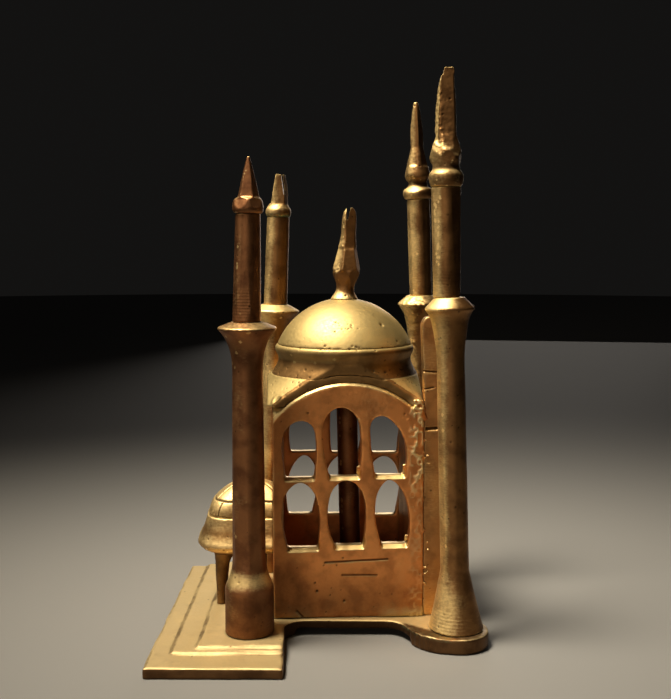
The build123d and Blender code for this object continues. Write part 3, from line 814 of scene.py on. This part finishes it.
def porch_eave():
    casting = Casting("porch_eave", voxel=0.3, rounds=6)
    casting.cast_skin(lump=0.14, grain=0.03, pits=30)
    z = casting.points[:, 2]
    casting.patina_and_shade = 0.45 * falloff(np.abs(z - 29.5), 3.2) + 0.5 * falloff(z - 22.6, 1.4)
    # A scratch along the front.
    place = in_hall(casting.points)
    casting.sink(falloff(to_segment(place, (-36.5, -11.6, 28.4), (-30.5, -11.6, 27.8)), 0.6), 0.4)
    casting.finish("porch_brass")


def porch_dome():
    """The cap, with courses of incised bricks, each course shifted by half a brick."""
    casting = Casting("porch_dome", voxel=0.28, rounds=6)
    casting.cast_skin(lump=0.05, grain=0.02, pits=16)
    place = in_hall(casting.points)
    offset = place[:, :2] - porch_centre
    bearing = np.degrees(np.arctan2(offset[:, 1], offset[:, 0]))
    spread = np.hypot(offset[:, 0], offset[:, 1])
    outside = ramp(casting.normals[:, 2] + 0.3, 0.25)
    z = place[:, 2] + 0.25 * unevenness(place, 4.0, 6)
    course_feet, course_height, brick_span = (34.4, 39.6), 4.9, 30.0
    joint = falloff(np.abs(z - course_feet[1]), 0.42)
    joint = np.maximum(joint, falloff(np.abs(z - 34.5), 0.5))  # round the cap's foot
    for number, bottom in enumerate(course_feet):
        turned = bearing + number * brick_span / 2 + 6
        from_joint = turned % brick_span - brick_span / 2
        distance = np.abs(np.radians(from_joint)) * spread
        in_course = (z > bottom) & (z < bottom + course_height)
        joint = np.maximum(joint, falloff(distance, 0.38) * in_course)
    casting.sink(joint * outside, 0.35)
    casting.finish("porch_brass")


def porch_columns():
    for column in ("front_inner", "front", "rear", "rear_inner"):
        casting = Casting("porch_column_" + column, voxel=0.2, rounds=4)
        casting.cast_skin(lump=0.08, grain=0.04, pits=14)
        # Browned all over and darkened: patina, with painted shade under the eave.
        casting.patina_and_shade[:] = 1.5
        casting.darken(0.6)
        casting.finish("porch_brass")


# ---------------------------------------------------------------- towers
# The balcony's top, above the deck.
balcony_tops = {"left_front": 95.9, "right_front": 103.2, "left_rear": 98.0, "right_rear": 101.2}
# Flats filed down the shafts: which way each looks, and how far from the axis it stands, as a
# share of the shaft's radius.
shaft_flats = {
    "left_front": ((-160, 0.985), (-105, 0.985), (-60, 0.985)),
    "right_front": ((-150, 0.98), (-70, 0.985), (-20, 0.985)),
    "left_rear": ((-145, 0.985), (-70, 0.985)),
    "right_rear": ((-140, 0.985), (-75, 0.985)),
}


def lower_tower(corner):
    """The foot, shaft and balcony of one tower, still to be aged and finished."""
    seat = balcony_tops[corner]
    casting = Casting(corner + "_tower", voxel=0.34, rounds=6, ground=deck)
    casting.find_axis(22, seat - 22)
    shaft = np.abs(casting.height() - 50) < 10
    radius = np.hypot(*casting.from_axis()[shaft].T).mean()
    for azimuth, share in shaft_flats[corner]:
        casting.file_cut(azimuth, (radius * share, 24), (radius * share, seat - 18), fade=4)
    casting.cast_skin(lump=0.06, grain=0.02, pits=40)
    casting.rings(0.5, 8, spacing=1.0, depth=0.09)
    return casting


def upper_shaft(corner, slot):
    """The shaft above one tower's balcony."""
    seat = balcony_tops[corner]
    casting = Casting(corner + "_upper_shaft", voxel=0.26, rounds=5, ground=deck)
    casting.find_axis(low=seat + 2)
    shaft = np.abs(casting.height() - seat - 14) < 5
    radius = np.hypot(*casting.from_axis()[shaft].T).mean()
    for azimuth, share in shaft_flats[corner]:
        casting.file_cut(azimuth + 14, (radius * share, seat + 4), (radius * share, seat + 30), fade=3)
    casting.cast_skin(lump=0.05, grain=0.02, pits=20)
    casting.rings(seat + 0.4, seat + 11, spacing=0.9, depth=0.09)
    # Painted shade on the side away from the light.
    casting.paint_shade_side(-30, 1.1)
    casting.finish(slot)


def left_front_tower():
    casting = lower_tower("left_front")
    casting.patina_and_shade = -0.8 * falloff(np.abs(casting.height() - 17.6), 3.6)  # the bell's rubbed shoulder
    # Painted shade on the side away from the light.
    casting.paint_shade_side(-25, 0.2)
    casting.darken(0.4 * falloff(casting.height() - 11, 4.0))
    casting.finish("dark_brass")
    upper_shaft("left_front", "dark_brass")


def right_front_tower():
    casting = lower_tower("right_front")
    # Painted shade on the side away from the light.
    casting.paint_shade_side(-35, 1.5)
    # The painted side shade is weaker on the foot.
    casting.patina_and_shade *= 0.4 + 0.6 * ramp(casting.height() - 12, 10)  # the foot is handled more
    casting.finish("tower_brass")
    upper_shaft("right_front", "tower_brass")


def left_rear_tower():
    casting = lower_tower("left_rear")
    # Painted shade on the side away from the light.
    casting.paint_shade_side(-35, 0.6)
    casting.finish("tower_brass")
    upper_shaft("left_rear", "tower_brass")


def right_rear_tower():
    casting = lower_tower("right_rear")
    # The left edge is rough in the upper half.
    edge = casting.from_axis() @ np.array([-0.8, -0.6])
    rough = ramp(edge - 2.5, 1.5) * (casting.height() > 60)
    casting.raise_by(0.22 * rough * unevenness(casting.points, 1.1, 8))
    # Painted shade on the side away from the light.
    casting.paint_shade_side(-35, 0.8)
    casting.finish("tower_brass")
    upper_shaft("right_rear", "tower_brass")


# ---------------------------------------------------------------- spires
def left_front_spire():
    casting = Casting("left_front_spire", voxel=0.18, rounds=3, ground=deck)
    casting.find_axis()
    casting.file_cuts((
        ((-165, -95, -25, 45, 115), (2.8, 133.2), (0.5, 145.2)),
        ((-120,), (4.5, 129.9), (3.5, 132.4)),
        ((-50,), (4.4, 130.2), (3.7, 132.2)),
    ))
    casting.soften(3)
    # Painted shade on the side away from the light.
    casting.paint_shade_side(-35, 0.3)
    casting.cast_skin(lump=0.07, grain=0.03, pits=10)
    casting.ragged_top(reach=1.4, depth=0.5)
    casting.finish("dark_brass")


def left_rear_spire():
    casting = Casting("left_rear_spire", voxel=0.18, rounds=3, ground=deck)
    casting.find_axis(129.5, 132.5)
    casting.file_cuts((
        ((-80,), (3.0, 133.8), (1.0, 144.8)),
        ((-20,), (3.1, 133.8), (1.7, 144.8)),
        ((100,), (3.0, 133.8), (1.2, 144.8)),
    ))
    casting.soften(3)
    # Painted shade on the side away from the light.
    casting.paint_shade_side(-35, 0.8)
    casting.cast_skin(lump=0.06, grain=0.03, pits=10)
    casting.ragged_top(reach=1.5, depth=0.5)
    casting.green = falloff(casting.height() - 129.2, 1.6) * 0.9
    casting.finish("tower_brass")


def right_front_spire():
    """The tallest spire: a knob, and a bent blade whose left edge is broken."""
    neck, blade_foot = 142.0, 149
    casting = Casting("right_front_spire", voxel=0.2, rounds=3, ground=deck)
    casting.find_axis(137.5, blade_foot)
    casting.file_cuts((
        ((-128, -52, 20, 92, 160), (4.3, 146.0), (2.9, 151.2)),
        ((-95, -15, 60, 140, 215), (3.9, 142.9), (4.3, 145.8)),
        ((-82,), (3.5, 147.8), (2.1, 152.4)),
        ((-150,), (3.0, 150.0), (2.35, 168.0)),
        ((-30,), (3.2, 152.0), (2.6, 169.0)),
        ((-88,), (2.1, 152.0), (1.5, 171.0)),
    ))
    casting.soften(14)
    # Painted shade on the side away from the light.
    casting.paint_shade_side(-60, 0.5)
    # The blade's front face is browned: painted shade on the face the light misses.
    in_front = np.clip(-casting.normals[:, 1] + 0.2, 0, 1)
    casting.patina_and_shade += 1.0 * (casting.height() > blade_foot) * in_front
    # Painted shade in the neck under the knob.
    casting.darken(0.7 * falloff(np.abs(casting.height() - neck), 2.0))
    casting.cast_skin(lump=0.14, grain=0.04, pits=24)
    left = casting.from_axis() @ np.array([-0.9, -0.44])
    rough = ramp(left - 1.6, 0.8) * (casting.height() > blade_foot - 1)
    casting.raise_by(0.16 * rough * unevenness(casting.points, 0.9, 8))
    # Bright on the broken left edge: bare metal, and painted light on the edge that faces the light.
    casting.patina_and_shade -= 0.6 * rough
    casting.ragged_top(reach=2.0, depth=0.5)
    casting.finish("tower_brass")


def right_rear_spire():
    casting = Casting("right_rear_spire", voxel=0.2, rounds=3, ground=deck)
    casting.find_axis()
    casting.file_cuts((
        ((-38,), (3.1, 147.4), (1.85, 154.0)),
        ((-38,), (1.85, 154.0), (1.0, 168.5)),
        ((-120,), (3.3, 147.4), (1.95, 154.0)),
        ((-120,), (1.95, 154.0), (1.2, 168.5)),
        ((20, 85, 150), (3.2, 147.4), (1.9, 154.0)),
    ))
    # The skirt's lower edge and the collar are wavy: height, reach, number of waves and swing.
    place = casting.from_axis()
    bearing = np.arctan2(place[:, 1], place[:, 0])
    for level, reach, waves, swing in ((142.6, 2.4, 3, 0.5), (138.4, 1.6, 2, 0.4)):
        near = falloff(np.abs(casting.height() - level), reach)
        casting.points[:, 2] += swing * np.cos(bearing * waves + 1.0) * near
    casting.soften(6)
    # Painted shade on the side away from the light.
    casting.paint_shade_side(-40, 0.8)
    # Painted shade between the skirt and the collar, under the skirt.
    casting.darken(0.8 * falloff(np.abs(casting.height() - 140.9), 1.8))
    casting.cast_skin(lump=0.07, grain=0.03, pits=16)
    casting.ragged_top(reach=1.6, depth=0.4)
    casting.finish("tower_brass")


# ---------------------------------------------------------------- base plate
def plate():
    steps_right, recess_left, lobe_left = -11, 8, 34
    casting = Casting("base_plate", voxel=0.44, rounds=16)
    casting.lumps(size=16.0, height=0.22)
    casting.lumps(size=5.0, height=0.09)
    casting.cast_skin(lump=0.10, grain=0.015, pits=60)
    place = casting.points
    level = casting.normals[:, 2]
    # The step edges wander a little.
    steps = (level > 0.05) & (level < 0.98) & (place[:, 2] > 2.6) & (place[:, 0] < steps_right)
    casting.raise_by(0.22 * steps * unevenness(place * (1, 1, 0), 5.0, 12))
    # File ridges down the edge of the recess.
    edge = np.clip(1 - 2 * np.abs(level), 0, 1) * ramp(place[:, 0] - recess_left, 8)
    edge *= ramp(36 - place[:, 0], 4) * (place[:, 1] < -10)
    ridges = np.cos(place[:, 0] * math.tau / 1.3 + unevenness(place, 3.0, 4))
    casting.raise_by(0.10 * edge * ridges)
    # Dark, rough metal where the lobe begins.
    rough = falloff(to_segment(place * (1, 1, 0), (25.0, -18.6, 0), (37.5, -27.6, 0)), 4.6)
    rough *= (level > 0.1)
    casting.raise_by(-0.25 * rough * np.clip(unevenness(place, 1.2, 5) + 0.4, 0, 1))
    # Browned: patina on the rough patch, and on the sides and the step faces patina with painted
    # shade, which also dims their reflections.
    casting.patina_and_shade = 1.6 * rough + 0.7 * (level < 0.4) + 0.45 * steps
    # Browner towards the lobe's end.
    casting.patina_and_shade += 0.6 * ramp(place[:, 0] - lobe_left, 5)
    casting.green = 0.3 * rough
    # Painted shade on the recess's faces under the plate's front.
    recess = (level < 0.5) & (place[:, 1] > -20.5) & (place[:, 1] < -8) & (place[:, 0] < 29)
    casting.darken(0.85 * recess)
    casting.finish("plate_brass")


front_panel()
rear_panel()
walls()
corner_bar()
roof()
drum()
dome()
finial()
tie()
porch_eave()
porch_dome()
porch_columns()
left_front_tower()
right_front_tower()
left_rear_tower()
right_rear_tower()
left_front_spire()
left_rear_spire()
right_front_spire()
right_rear_spire()
plate()
